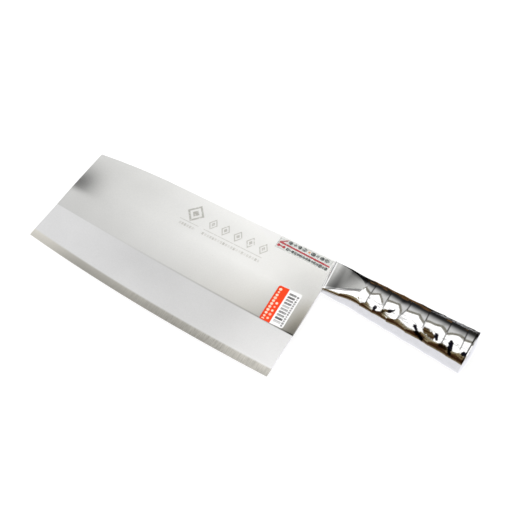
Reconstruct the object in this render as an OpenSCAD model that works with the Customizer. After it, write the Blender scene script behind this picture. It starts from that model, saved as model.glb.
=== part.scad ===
// A broad kitchen cleaver with a hollow, hammered steel handle, lying on its side as it rests on a table.
// +X runs from the tip to the butt, +Y towards the spine and +Z up, and the origin is under the middle.

/* [Blade] */
// Length of the blade, from the tip to the lower end of the neck's front line
blade_len = 220.5; // [170:0.5:280]
// Height of the blade at the heel
heel_h = 102.4; // [90:0.2:125]
// Height of the blade at the tip
tip_h = 91.6; // [80:0.2:115]
// How far the tip's lower corner stands back from its upper one
tip_rake = 4.4; // [0:0.2:12]
// How far the heel's lower corner stands out past the neck
heel_rake = 1.4; // [0:0.2:6]
// How far the cutting edge bows out past a straight line between its ends
edge_bow = 3.3; // [1:0.1:8]
// How far the spine drops at the tip
spine_drop = 4.4; // [1:0.2:10]
// Length of the spine's curved front part
spine_bend = 72; // [40:1:120]
// Thickness of the spine
spine_t = 2.5; // [2:0.1:4]

/* [Grind] */
// Depth of the grind's shoulder below the spine, where it is deepest
shoulder_y = 68.1; // [60:0.1:74]
// Distance from the tip to the place where the shoulder's curve is deepest
shoulder_x = 240; // [120:1:300]
// Radius of the shoulder's long curve, which bows towards the edge
shoulder_r = 5260; // [3500:20:12000]
// Width of the band that rolls down to the shoulder
roll_w = 24; // [12:1:34]
// Thickness at the shoulder
shoulder_t = 1.3; // [1:0.05:1.8]
// Thickness just above the edge bevel
thin_t = 0.85; // [0.6:0.05:0.95]
// Width of the edge bevel
bevel_w = 6.4; // [4:0.2:10]
// Thickness left at the cutting edge
edge_t = 0.08; // [0.04:0.02:0.3]

/* [Tang] */
// Length of the tang inside the handle
tang_len = 22; // [12:1:40]
// Height of the tang
tang_h = 14; // [8:0.5:18]
// Gap around the tang in its slot
tang_gap = 0.1; // [0.05:0.05:0.3]

/* [Handle] */
// Length of the handle's shells
handle_len = 106.5; // [90:0.5:140]
// Angle by which the handle droops from the line of the spine
handle_droop = 2.7; // [0:0.1:8]
// How far the neck's back lies below the spine
neck_inset = 0.2; // [0:0.1:2]
// Angle by which the neck's front line leans from square to the handle
neck_slant = 9; // [0:0.5:12]
// Height of the flattened neck, along the blade
neck_w = 26.8; // [22:0.2:32]
// Thickness of the flattened neck
neck_t = 9; // [7.5:0.5:14]
// Roundness of the neck's two narrow sides
neck_r = 4; // [2:0.5:8]
// How deep the neck's flat is pressed in, which makes its crisp border
neck_press = 0.35; // [0.1:0.05:0.8]
// Length of the pressed flat, up to its point
neck_len = 26; // [16:1:30]
// Height of the handle where the flat ends
round_w = 26.4; // [23:0.2:34]
// Thickness of the handle where the flat ends
round_t = 22.8; // [18:0.2:30]
// Height of the handle at the butt
butt_w = 32.2; // [26:0.2:40]
// Thickness of the handle at the butt
butt_t = 27.2; // [22:0.2:36]
// Wall of the shells
wall = 1.5; // [1.2:0.1:2.2]

/* [Hammered panes] */
// Distance from the neck to the first crest
first_crest = 32.5; // [28:0.5:48]
// Radius of the hammer's face, which sets how hollow the panes are
hammer_r = 38; // [30:1:90]
// Angle round the handle from a pane's middle to its end
pane_reach = 52; // [46:1:60]

/* [Butt cap] */
// Height of the cap's dome
dome_h = 2.3; // [1:0.1:5]
// Depth of the cap's lip inside the shells
lip_depth = 4; // [2:0.5:8]
// Wall of the cap's lip
lip_wall = 1.2; // [0.8:0.1:2]
// Gap between the lip and the shells
lip_gap = 0.12; // [0.05:0.01:0.3]

/* [Neck weld] */
// Size of the ground weld between the neck and the blade
weld_leg = 1.2; // [0.6:0.1:2]

/* [Stickers] */
// Length of the price sticker
price_len = 30; // [20:0.5:36]
// Width of the price sticker
price_w = 18.5; // [12:0.5:22]
// Angle between the price sticker and the heel
price_turn = 2.8; // [0:0.2:10]
// Radius of the price sticker's corners
price_r = 1.5; // [0.5:0.1:4]
// Distance from the neck to the middle of the price sticker
price_back = 18.2; // [14:0.2:40]
// Distance from the spine to the middle of the price sticker
price_down = 52.6; // [48:0.2:58]
// Thickness of the price sticker
price_t = 0.15; // [0.1:0.05:0.3]
// Length of the clear label
clear_len = 44; // [30:0.5:60]
// Width of the clear label
clear_w = 10.2; // [8:0.2:14]
// Distance from the top of the neck to the clear label
clear_back = 1.6; // [1.5:0.1:30]
// Distance from the spine to the clear label
clear_down = 0.9; // [0.3:0.1:6]
// Thickness of the clear label
clear_t = 0.1; // [0.05:0.05:0.2]

/* [Hidden] */
steel = "#b9bdc0";
bright_steel = "#d7dadd";
past = 1;             // how far a cutter reaches past what it cuts
edge_steps = 24;
spine_steps = 12;
side_steps = 28;      // flats round half of the handle
pane_steps = 8;       // flats along one hammered pane
smooth = 96;

// The handle's axis starts at the neck, where the blade ends.
neck = [blade_len, -neck_inset - neck_w / 2];

// Places along the handle where two panes meet, on its broad faces and on its narrow sides.
pane_shares = [0, 0.16, 0.36, 0.55, 0.76, 0.92, 1];
face_cuts = concat([neck_len], [for (share = pane_shares) first_crest + share * (handle_len - first_crest)]);
side_cuts = concat([neck_len / 2], [for (k = [1:len(face_cuts) - 1]) (face_cuts[k - 1] + face_cuts[k]) / 2],
    [handle_len]);

// Stations of the outer skin along the handle, and which of them the smooth inner skin shares.
neck_steps = 4;
taper_steps = 5;
start_steps = 4;
stations = concat([0, wall], ramp(wall, neck_len / 2, neck_steps), ramp(neck_len / 2, neck_len, taper_steps),
    ramp(neck_len, first_crest, start_steps),
    [for (k = [2:len(face_cuts) - 1]) each ramp(face_cuts[k - 1], face_cuts[k], pane_steps)]);
taper_at = 1 + neck_steps;
round_at = taper_at + taper_steps;
crest_at = round_at + start_steps;
shared = concat([1, taper_at, round_at],
    [for (k = [0:len(pane_shares) - 1]) crest_at + k * pane_steps]);

function ramp(from, to, steps) = [for (i = [1:steps]) from + (to - from) * i / steps];
function mix(a, b, t) = a + (b - a) * t;

// A point of the handle's plane, along the axis and across it, in the blade's plane.
function on_blade(p) = neck + [p[0] * cos(handle_droop) + p[1] * sin(handle_droop),
    p[1] * cos(handle_droop) - p[0] * sin(handle_droop)];

// The neck's front line leans, and the lean fades out where the flat ends.
function lean(s, y) = -(y + neck_w / 2) * tan(neck_slant) * max(0, 1 - s / neck_len);
neck_low = on_blade([0, -neck_w / 2]);
neck_top = on_blade([lean(0, neck_w / 2), neck_w / 2]);
spine_end = neck_low + (neck_top - neck_low) * neck_low[1] / (neck_low[1] - neck_top[1]);

// Half height and half thickness of the handle at a distance from the neck.
function half_w(s) = s < neck_len ? mix(neck_w, round_w, s / neck_len) / 2
    : mix(round_w, butt_w, (s - neck_len) / (handle_len - neck_len)) / 2;
function half_t(s) = s < neck_len ? mix(neck_t, round_t, s / neck_len) / 2
    : mix(round_t, butt_t, (s - neck_len) / (handle_len - neck_len)) / 2;
function flat_w(s) = (neck_w / 2 - neck_r) * max(0, 1 - s / neck_len);
function pressed_t(s) = neck_t / 2 - neck_press + s * (round_t / 2 - neck_t / 2 + neck_press) / neck_len;

// How deep the hammer has hollowed a row of panes, and how that fades towards the row's sides.
function hollow(s, cuts) = max([for (k = [1:len(cuts) - 1]) (s - cuts[k - 1]) * (cuts[k] - s)]) / (2 * hammer_r);
function fade(turn) = max(0, 1 - pow(turn / pane_reach, 4));
function relief(s, turn) = max(0, hollow(s, face_cuts) * fade(abs(turn)),
    hollow(s, side_cuts) * fade(90 - abs(turn)));

// A point of the handle's skin: turn is 0 on the broad face and 90 on the narrow sides.
function skin(s, turn, inset) = let (
        y = sign(turn) * flat_w(s) + (half_w(s) - flat_w(s) - inset) * sin(turn),
        z = min((half_t(s) - inset) * cos(turn), pressed_t(s) - inset))
    [s + lean(s, y), y, max(0, z)];
function hammered(s, turn) = let (p = skin(s, turn, 0), d = relief(s, turn))
    [p[0], p[1] - d * sin(turn), abs(turn) == 90 ? 0 : p[2] - d * cos(turn)];

// The slot for the tang, as the ring of points that the front wall closes on.
slot_w = tang_h / 2 + tang_gap;
slot_t = spine_t / 2 + tang_gap;
slot_corner = 45;
function slot(s, turn) = let (
        y = slot_w * (abs(turn) > slot_corner ? sign(turn) : turn / slot_corner),
        z = slot_t * min(1, (90 - abs(turn)) / (90 - slot_corner)))
    [s + lean(s, y), y, z];

// The edge is one arc through the lower corners of the tip and the heel.
tip_low = [tip_rake, -spine_drop - tip_h];
heel_low = [blade_len + heel_rake, -heel_h];
edge_chord = norm(heel_low - tip_low);
edge_r = (edge_chord * edge_chord / 4 + edge_bow * edge_bow) / (2 * edge_bow);
edge_dir = (heel_low - tip_low) / edge_chord;
edge_centre = (tip_low + heel_low) / 2 + [-edge_dir[1], edge_dir[0]] * (edge_r - edge_bow);
function turn_of(p) = atan2(p[1] - edge_centre[1], p[0] - edge_centre[0]);

spine_r = (spine_bend * spine_bend + spine_drop * spine_drop) / (2 * spine_drop);
function spine_y(x) = sqrt(spine_r * spine_r - pow(spine_bend - x, 2)) - spine_r;

// The shoulder is an arc round a far point above the spine.
shoulder_centre = [shoulder_x, shoulder_r - shoulder_y];
roll_drop = (spine_t - shoulder_t) / 2;
roll_r = (roll_w * roll_w + roll_drop * roll_drop) / (2 * roll_drop);
grind_run = heel_h - shoulder_y - bevel_w;
grind_slope = (shoulder_t - thin_t) / 2 / grind_run;
grind_reach = heel_h - shoulder_y + 20;
bevel_slope = (thin_t - edge_t) / 2 / bevel_w;

// Half the blade's thickness at the tip, at a depth below the spine's line and above the edge bevel.
tip_shoulder = shoulder_y - shoulder_x * shoulder_x / (2 * shoulder_r);
function tip_half(depth) = let (above = tip_shoulder - depth, rolled = max(0, roll_w - above))
    above < 0 ? shoulder_t / 2 + grind_slope * above : spine_t / 2 - rolled * rolled / (2 * roll_r);
function tip_x(depth) = tip_rake * (depth - spine_drop) / tip_h;
function tip_point(depth) = [tip_x(depth), -depth, -tip_half(depth)];
function highest(list) = [for (row = list) if (row[0] == max([for (other = list) other[0]])) row[1]][0];

// At rest the knife stands on the top of the bevel and the fullest place of the roll at the tip, and on the
// handle's lowest crest. The three feet give the slant.
bevel_top = spine_drop + tip_h - bevel_w;
roll_foot = tip_point(highest([for (depth = [ceil(spine_drop):floor(bevel_top) - 1])
    [(tip_half(depth) - tip_half(bevel_top)) / (bevel_top - depth), depth]]));
bevel_foot = tip_point(bevel_top);
tip_line = roll_foot - bevel_foot;
function past_tip(p) = p - bevel_foot - tip_line * (p[1] - bevel_foot[1]) / tip_line[1];
crests = [for (s = stations) let (axis = on_blade([s, 0])) [axis[0], axis[1], relief(s, 0) - half_t(s)]];
handle_foot = highest([for (crest = crests) [-past_tip(crest)[2] / past_tip(crest)[0], crest]]);
table_up = cross(bevel_foot - roll_foot, handle_foot - roll_foot);
lie = [atan2(table_up[1], table_up[2]), -atan2(table_up[0], norm([table_up[1], table_up[2]])), 0];
function laid(p) = let (y = p[1] * cos(lie[0]) - p[2] * sin(lie[0]), z = p[1] * sin(lie[0]) + p[2] * cos(lie[0]))
    [p[0] * cos(lie[1]) + z * sin(lie[1]), y, z * cos(lie[1]) - p[0] * sin(lie[1])];
butt_end = on_blade([handle_len + dome_h, 0]);
low_x = laid([0, -spine_drop, -spine_t / 2])[0];
high_x = laid([butt_end[0], butt_end[1], 0])[0];
low_y = laid([edge_centre[0], edge_centre[1] - edge_r, 0])[1];
high_y = laid([spine_bend, 0, spine_t / 2])[1];
table_z = laid(roll_foot)[2];

module at_rest() {
    translate([-(low_x + high_x) / 2, -(low_y + high_y) / 2, -table_z])
        rotate(lie)
            children();
}

module on_handle() {
    at_rest()
        translate([neck[0], neck[1], 0])
            rotate([0, 0, -handle_droop])
                children();
}

module both_sides() {
    children();
    mirror([0, 0, 1]) children();
}

module blade_outline() {
    from = turn_of(heel_low);
    to = turn_of(tip_low);
    polygon(concat(
        [for (i = [0:spine_steps]) let (x = spine_bend * i / spine_steps) [x, spine_y(x)]],
        [spine_end],
        [on_blade([lean(0, tang_h / 2), tang_h / 2]), on_blade([tang_len, tang_h / 2])],
        [on_blade([tang_len, -tang_h / 2]), on_blade([lean(0, -tang_h / 2), -tang_h / 2])],
        [neck_low],
        [for (i = [0:edge_steps]) let (a = mix(from, to, i / edge_steps))
            edge_centre + edge_r * [cos(a), sin(a)]]));
}

// What the grinding wheel takes off one flank: the roll down to the shoulder, then the long thin plane.
module flank_grind(raise = 0) {
    reach = max(shoulder_x, blade_len + heel_rake - shoulder_x) + 10 * past;
    swing = 2 * asin(reach / (shoulder_r - roll_w));
    translate([shoulder_centre[0], shoulder_centre[1], raise])
        rotate_extrude(angle = swing, start = 270 - swing / 2, $fn = 3600)
            difference() {
                polygon([
                    [shoulder_r + grind_reach, shoulder_t / 2 - grind_slope * grind_reach],
                    [shoulder_r, shoulder_t / 2],
                    [shoulder_r - roll_w, shoulder_t / 2],
                    [shoulder_r - roll_w, spine_t / 2 + past],
                    [shoulder_r + grind_reach, spine_t / 2 + past]]);
                translate([shoulder_r - roll_w, spine_t / 2 - roll_r])
                    circle(r = roll_r, $fn = 3600);
            }
}

// What the whetstone takes off one side of the edge, past both its ends.
module edge_grind() {
    beyond = 1;
    from = turn_of(tip_low) - beyond;
    translate([edge_centre[0], edge_centre[1], 0])
        rotate_extrude(angle = turn_of(heel_low) + beyond - from, start = from, $fn = 3600)
            polygon([
                [edge_r - 2 * bevel_w, edge_t / 2 + bevel_slope * 2 * bevel_w],
                [edge_r + past, edge_t / 2 - bevel_slope * past],
                [edge_r + past, spine_t],
                [edge_r - 2 * bevel_w, spine_t]]);
}

module ground_plate() {
    difference() {
        translate([0, 0, -spine_t / 2])
            linear_extrude(spine_t)
                blade_outline();
        both_sides() flank_grind();
    }
}

module blade() {
    color(bright_steel)
        at_rest()
            difference() {
                ground_plate();
                both_sides() edge_grind();
            }
}

// One pressed half of the hollow handle. Its rings run from the butt along the outside to the front wall,
// through the slot and back inside to the butt, and flat rims close it on the plane of the blade.
module half_shell() {
    turns = [for (i = [0:side_steps]) -90 + 180 * i / side_steps];
    outer_n = len(stations);
    inner_n = len(shared);
    rings = concat(
        [for (j = [outer_n - 1:-1:0]) [for (turn = turns) hammered(stations[j], turn)]],
        [for (s = [0, wall]) [for (turn = turns) slot(s, turn)]],
        [for (j = shared) [for (turn = turns) skin(stations[j], turn, wall)]]);
    across = side_steps + 1;
    count = len(rings);
    function at(ring, i) = (ring % count) * across + i;
    function outer(j, i) = at(outer_n - 1 - j, i);
    function inner(m, i) = at(outer_n + 2 + m, i);
    skins = [for (ring = [0:count - 1], i = [0:side_steps - 1])
        each [[at(ring, i), at(ring + 1, i + 1), at(ring, i + 1)],
            [at(ring, i), at(ring + 1, i), at(ring + 1, i + 1)]]];
    rim = [for (i = [0, side_steps]) [for (t = concat(
            [[outer(0, i), at(outer_n, i), at(outer_n + 1, i)],
                [outer(0, i), at(outer_n + 1, i), inner(0, i)],
                [outer(0, i), inner(0, i), outer(1, i)]],
            [for (m = [0:inner_n - 2]) each concat(
                [for (j = [shared[m]:shared[m + 1] - 1]) [inner(m, i), outer(j + 1, i), outer(j, i)]],
                [[inner(m, i), inner(m + 1, i), outer(shared[m + 1], i)]])]))
        i == 0 ? [t[0], t[2], t[1]] : t]];
    polyhedron(points = [for (ring = rings) each ring], faces = concat(skins, rim[0], rim[1]), convexity = 8);
}

module handle_upper_shell() {
    color(steel)
        on_handle()
            half_shell();
}

module handle_lower_shell() {
    color(steel)
        on_handle()
            mirror([0, 0, 1])
                half_shell();
}

// An upright prism on the handle's axis with the butt's oval, drawn in all round by an inset.
module butt_oval(from, to, inset) {
    translate([from, 0, 0])
        rotate([0, 90, 0])
            scale([(butt_t - 2 * inset) / (butt_w - 2 * inset), 1, 1])
                cylinder(r = butt_w / 2 - inset, h = to - from, $fn = smooth);
}

module end_cap() {
    dome_r = (butt_w * butt_w / 4 + dome_h * dome_h) / (2 * dome_h);
    color(bright_steel)
        on_handle()
            union() {
                intersection() {
                    butt_oval(handle_len, handle_len + dome_h + past, 0);
                    translate([handle_len + dome_h - dome_r, 0, 0])
                        sphere(r = dome_r, $fn = 4 * smooth);
                }
                difference() {
                    butt_oval(handle_len - lip_depth, handle_len, wall + lip_gap);
                    butt_oval(handle_len - lip_depth - past, handle_len + past, wall + lip_gap + lip_wall);
                }
            }
}

// The ground weld fills the corner between the handle's front wall and each flank of the blade.
module neck_weld() {
    weld_w = (neck_w - 2 * neck_r) / cos(neck_slant);
    color(bright_steel)
        on_handle()
            both_sides()
                translate([lean(0, 0), 0, spine_t / 2])
                    rotate([90, 0, neck_slant])
                        linear_extrude(weld_w, center = true)
                            difference() {
                                translate([-weld_leg, 0]) square(weld_leg);
                                translate([-weld_leg, weld_leg]) circle(r = weld_leg, $fn = smooth);
                            }
}

// A thin sheet stuck to the upper flank: it follows the grind, one thickness above it.
module stuck_on(thickness) {
    difference() {
        linear_extrude(spine_t / 2 + thickness) children();
        flank_grind(raise = thickness);
        ground_plate();
    }
}

module rounded(size_x, size_y, r) {
    for (x = [-1, 1], y = [-1, 1])
        translate([x * (size_x / 2 - r), y * (size_y / 2 - r)]) circle(r = r, $fn = smooth);
    square([size_x - 2 * r, size_y], center = true);
    square([size_x, size_y - 2 * r], center = true);
}

module price_sticker() {
    color("#f4f1ee")
        at_rest()
            stuck_on(price_t)
                translate([blade_len - price_back, -price_down])
                    rotate(price_turn)
                        rounded(price_w, price_len, price_r);
}

module clear_label() {
    color("#e3e8ea")
        at_rest()
            stuck_on(clear_t)
                translate([neck_top[0] - clear_back - clear_len, -clear_down - clear_w])
                    square([clear_len, clear_w]);
}

blade();
handle_upper_shell();
handle_lower_shell();
end_cap();
neck_weld();
price_sticker();
clear_label();
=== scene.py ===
"""Dresses a broad kitchen cleaver with a hollow, hammered steel handle that lies on a white table."""

import math

import bmesh
import bpy
from bpy.props import FloatProperty, FloatVectorProperty, PointerProperty
from mathutils import Matrix, Vector, noise


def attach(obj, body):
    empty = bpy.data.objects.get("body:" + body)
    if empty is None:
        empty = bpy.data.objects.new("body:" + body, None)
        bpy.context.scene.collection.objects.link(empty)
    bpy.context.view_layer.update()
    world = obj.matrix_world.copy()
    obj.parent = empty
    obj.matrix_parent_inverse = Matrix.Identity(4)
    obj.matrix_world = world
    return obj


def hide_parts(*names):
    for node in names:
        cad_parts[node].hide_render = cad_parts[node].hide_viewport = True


bl_info = {
    "name": "Hammered Cleaver",
    "version": (1, 0, 0),
    "blender": (4, 5, 0),
    "location": "View3D > Sidebar > Cleaver",
    "description": "Builds the fine surfaces, stickers and studio of a hammered kitchen cleaver",
    "category": "Object",
}

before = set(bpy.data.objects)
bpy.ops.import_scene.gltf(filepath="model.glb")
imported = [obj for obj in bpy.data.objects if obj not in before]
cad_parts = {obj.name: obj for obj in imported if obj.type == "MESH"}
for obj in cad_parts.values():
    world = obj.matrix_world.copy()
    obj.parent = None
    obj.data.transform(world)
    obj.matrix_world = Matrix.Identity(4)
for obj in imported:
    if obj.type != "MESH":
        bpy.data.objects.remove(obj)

MM = 0.001

# The knife lies tilted on its tip and its handle. The blade's own frame has x from the tip to the heel along
# the spine, y towards the spine and z out of the flank; the rest turn and shift lay it on the table.
REST_TURN_X = math.radians(1.10931)
REST_TURN_Y = math.radians(-2.24876)
REST_SHIFT = Vector((-164.49619, 51.6401, 2.00478)) * MM
BLADE_TO_TABLE = (
    Matrix.Translation(REST_SHIFT)
    @ Matrix.Rotation(REST_TURN_Y, 4, "Y")
    @ Matrix.Rotation(REST_TURN_X, 4, "X")
)


# ---------------------------------------------------------------- settings


def length(name, mm, what):
    return FloatProperty(
        name=name, description=what, default=mm * MM, min=0, precision=5, unit="LENGTH"
    )


def angle(name, degrees, what):
    return FloatProperty(
        name=name, description=what, default=math.radians(degrees), subtype="ANGLE"
    )


def factor(name, value, what):
    return FloatProperty(
        name=name, description=what, default=value, min=0, max=1, subtype="FACTOR"
    )


def colour(name, rgb, what, most=1):
    return FloatVectorProperty(
        name=name, description=what, default=rgb, size=3, min=0, max=most, subtype="COLOR"
    )


class BladeSettings(bpy.types.PropertyGroup):
    blade_len: length("Length", 220.5, "From the tip to the lower end of the neck's front line")
    heel_h: length("Heel height", 102.4, "Height of the blade at the heel")
    tip_h: length("Tip height", 91.6, "Height of the blade at the tip")
    tip_rake: length("Tip rake", 4.4, "How far the tip's lower corner stands back")
    heel_rake: length("Heel rake", 1.4, "How far the heel's lower corner stands out past the neck")
    edge_bow: length("Edge bow", 3.3, "How far the cutting edge bows out")
    spine_drop: length("Spine drop", 4.4, "How far the spine drops at the tip")
    spine_bend: length("Spine bend", 72, "Length of the spine's curved front part")
    spine_t: length("Spine thickness", 2.5, "Thickness of the spine")
    shoulder_y: length("Shoulder depth", 68.1, "Depth of the grind's shoulder where it is deepest")
    shoulder_x: length("Shoulder bottom", 240, "From the tip to the place where the shoulder is deepest")
    shoulder_r: length("Shoulder radius", 5260, "Radius of the shoulder's long curve")
    roll_w: length("Roll width", 24, "Width of the band that rolls down to the shoulder")
    shoulder_t: length("Shoulder thickness", 1.3, "Thickness at the shoulder")
    thin_t: length("Thin thickness", 0.85, "Thickness just above the edge bevel")
    bevel_w: length("Bevel width", 6.4, "Width of the edge bevel")
    edge_t: length("Edge thickness", 0.08, "Thickness left at the cutting edge")
    steel: colour("Steel", (0.86, 0.86, 0.85), "Colour of the satin steel")
    satin: factor("Satin", 0.3, "Roughness of the satin flank")


class HandleSettings(bpy.types.PropertyGroup):
    handle_len: length("Length", 106.5, "Length of the handle's shells")
    droop: angle("Droop", 2.7, "Angle by which the handle droops from the line of the spine")
    neck_inset: length("Neck inset", 0.2, "How far the neck's back lies below the spine")
    neck_slant: angle("Neck slant", 9, "Lean of the neck's front line from square to the handle")
    neck_w: length("Neck height", 26.8, "Height of the flattened neck")
    neck_t: length("Neck thickness", 9, "Thickness of the flattened neck")
    neck_r: length("Neck roundness", 4, "Roundness of the neck's narrow sides")
    neck_press: length("Neck press", 0.35, "How deep the neck's flat is pressed in")
    neck_len: length("Neck length", 26, "Length of the pressed flat")
    round_w: length("Round height", 26.4, "Height of the handle where the flat ends")
    round_t: length("Round thickness", 22.8, "Thickness of the handle where the flat ends")
    butt_w: length("Butt height", 32.2, "Height of the handle at the butt")
    butt_t: length("Butt thickness", 27.2, "Thickness of the handle at the butt")
    wall: length("Wall", 1.5, "Wall of the shells")
    first_crest: length("First crest", 32.5, "Distance from the neck to the first crest")
    hammer_r: length("Hammer radius", 38, "Radius of the hammer's face")
    pane_reach: angle("Pane reach", 52, "Angle round the handle from a pane's middle to its end")
    steel: colour("Steel", (0.6, 0.6, 0.595), "Colour of the polished steel")
    polish: factor("Roughness", 0.1, "Roughness of the polished handle")


class StickerSettings(bpy.types.PropertyGroup):
    price_len: length("Price sticker length", 30, "Length of the price sticker")
    price_turn: angle("Price sticker turn", 2.8, "Angle between the price sticker and the heel")
    price_back: length("Price sticker back", 18.2, "From the neck to the middle of the price sticker")
    price_down: length("Price sticker down", 52.6, "From the spine to the middle of the price sticker")
    clear_len: length("Clear label length", 44, "Length of the clear label")
    clear_back: length("Clear label back", 1.6, "From the top of the neck to the clear label")
    clear_down: length("Clear label down", 0.9, "From the spine to the clear label")
    orange: colour("Orange", (0.9, 0.055, 0.005), "Colour of the sticker's printed field")
    red: colour("Red", (0.5, 0.03, 0.045), "Colour of the label's rule")


class StudioSettings(bpy.types.PropertyGroup):
    table: colour("Table", (0.3, 0.3, 0.3), "Colour of the table")
    mirrored: colour(
        "Mirrored table", (1.2, 1.2, 1.27), "Brightness of the table as the steel mirrors it", most=2
    )
    softbox: FloatProperty(
        name="Softbox", description="Brightness of the overhead softbox", default=2.2, min=0
    )
    lamp: FloatProperty(
        name="Lamp", description="Power of the overhead lamp", default=2.0, min=0, unit="POWER"
    )


# ---------------------------------------------------------------- shader expressions


class Value:
    """A shader socket that Python's operators build Math nodes on."""

    def __init__(self, tree, socket):
        self.tree = tree
        self.socket = socket

    def math(self, operation, *others):
        return self.tree.math(operation, self, *others)

    def __add__(self, other):
        return self.math("ADD", other)

    def __sub__(self, other):
        return self.math("SUBTRACT", other)

    def __mul__(self, other):
        return self.math("MULTIPLY", other)

    def __truediv__(self, other):
        return self.math("DIVIDE", other)

    def __pow__(self, other):
        return self.math("POWER", other)

    def __neg__(self):
        return self * -1

    def __abs__(self):
        return self.math("ABSOLUTE")

    def __rsub__(self, other):
        return self.tree.math("SUBTRACT", other, self)

    def __rtruediv__(self, other):
        return self.tree.math("DIVIDE", other, self)

    __radd__ = __add__
    __rmul__ = __mul__

    def vector(self, second=0.0):
        """A vector with the number along x and the second one along y."""
        return self.tree.node("ShaderNodeCombineXYZ", None, {0: self, 1: second})

    def rise(self, low, high):
        """0 below low, 1 above high and smooth between; with low over high it falls instead."""
        settings = {"interpolation_type": "SMOOTHSTEP"}
        if low < high:
            return self.tree.node("ShaderNodeMapRange", settings, {0: self, 1: low, 2: high})
        return 1 - self.rise(high, low)

    def at_most(self, high):
        return self.math("MINIMUM", high)

    def at_least(self, low):
        return self.math("MAXIMUM", low)

    def bump(self, centre, half):
        """1 at the centre, falling smoothly to 0 at half either side."""
        return 1 - abs(self - centre).rise(0, half)

    def between(self, low, high, soft):
        """1 from low to high and 0 outside, with edges that take twice soft."""
        return self.rise(low - soft, low + soft) * self.rise(high + soft, high - soft)


class Tree:
    """Builds one node tree from expressions."""

    # A Mix node has sockets for each kind of data. These take its share and its colours, and give its result.
    MIX_SHARE, MIX_FIRST, MIX_SECOND, MIX_RESULT = 0, 6, 7, 2

    def __init__(self, owner):
        owner.use_nodes = True
        self.nodes = owner.node_tree.nodes
        self.links = owner.node_tree.links
        self.nodes.clear()

    def new(self, kind, **settings):
        node = self.nodes.new(kind)
        for key, value in settings.items():
            setattr(node, key, value)
        return node

    def feed(self, slot, term):
        if isinstance(term, Value):
            self.links.new(term.socket, slot)
        elif term is not None:
            if slot.type == "RGBA" and len(term) == 3:
                term = (*term, 1.0)
            slot.default_value = term

    def node(self, kind, settings=None, sockets=None, output=0):
        settings = dict(settings or {})
        stops = settings.pop("stops", None)
        node = self.new(kind, **settings)
        if stops:
            ramp = node.color_ramp
            while len(ramp.elements) < len(stops):
                ramp.elements.new(0.5)
            for element, (place, tone) in zip(ramp.elements, stops):
                element.position = place
                element.color = (*tone, 1.0)
        for slot, term in (sockets or {}).items():
            self.feed(node.inputs[slot], term)
        return Value(self, node.outputs[output]) if node.outputs else None

    def math(self, operation, *terms):
        return self.node("ShaderNodeMath", {"operation": operation}, dict(enumerate(terms)))

    def mix(self, share, first, second):
        """A colour: first where share is 0, second where it is 1."""
        sockets = {self.MIX_SHARE: share, self.MIX_FIRST: first, self.MIX_SECOND: second}
        return self.node("ShaderNodeMix", {"data_type": "RGBA"}, sockets, self.MIX_RESULT)

    def tint(self, tone, shade):
        """A colour multiplied by a number."""
        return self.node("ShaderNodeVectorMath", {"operation": "SCALE"}, {0: tone, "Scale": shade})

    def axes(self, vector):
        node = self.new("ShaderNodeSeparateXYZ")
        self.feed(node.inputs[0], vector)
        return [Value(self, out) for out in node.outputs]

    def place(self, matrix_mm):
        """Object coordinates turned into a piece's own millimetres."""
        here = self.node("ShaderNodeTexCoord", output="Object")
        own = self.node(
            "ShaderNodeMapping",
            {"vector_type": "TEXTURE"},
            {"Vector": here, "Location": matrix_mm.to_translation(), "Rotation": matrix_mm.to_euler()},
        )
        return self.node("ShaderNodeVectorMath", {"operation": "SCALE"}, {0: own, "Scale": 1 / MM})

    def stretched(self, vector, scale):
        """The vector with each of its axes scaled."""
        return self.node("ShaderNodeMapping", None, {"Vector": vector, "Scale": scale})

    def noise(self, vector, scale, detail=2.0, rough=0.5):
        sockets = {"Vector": vector, "Scale": scale, "Detail": detail, "Roughness": rough}
        return self.node("ShaderNodeTexNoise", None, sockets)

    def chance(self, number):
        """A steady random share for each whole number."""
        return self.node("ShaderNodeTexWhiteNoise", {"noise_dimensions": "1D"}, {"W": number})

    def attribute(self, name):
        """A number that the mesh holds at each vertex."""
        return self.node("ShaderNodeAttribute", {"attribute_name": name}, output="Fac")

    def bumped(self, height, strength, distance_mm):
        sockets = {"Height": height, "Strength": strength, "Distance": distance_mm * MM}
        return self.node("ShaderNodeBump", None, sockets)

    def surface(self, sockets):
        shader = self.node("ShaderNodeBsdfPrincipled", None, sockets)
        self.node("ShaderNodeOutputMaterial", None, {"Surface": shader})


def new_material(name):
    material = bpy.data.materials.new(name)
    return material, Tree(material)


# ---------------------------------------------------------------- shapes


# Edges of a piece that turn by more than this are sharp, and vertices in mm closer than this are one.
SHARP = math.radians(24)
WELD = 1e-4


def lerp(a, b, t):
    return a + (b - a) * t


def clamp(x):
    return min(1, max(0, x))


def along_line(points, x):
    """The height of a line through the points at x."""
    for (x0, y0), (x1, y1) in zip(points, points[1:]):
        if x <= x1:
            return lerp(y0, y1, (x - x0) / (x1 - x0))
    return points[-1][1]


def finish_piece(name, shape, to_table, material, slot, *nodes):
    """Makes a bmesh in millimetres an object on the table that stands for its CAD nodes."""
    bmesh.ops.recalc_face_normals(shape, faces=shape.faces)
    bmesh.ops.transform(shape, matrix=to_table @ Matrix.Scale(MM, 4), verts=shape.verts)
    mesh = bpy.data.meshes.new(name)
    shape.to_mesh(mesh)
    shape.free()
    mesh.shade_smooth()
    mesh.set_sharp_from_angle(angle=SHARP)
    mesh.materials.append(material)
    piece = bpy.data.objects.new(name, mesh)
    bpy.context.scene.collection.objects.link(piece)
    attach(piece, "root")
    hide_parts(*nodes)


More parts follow.
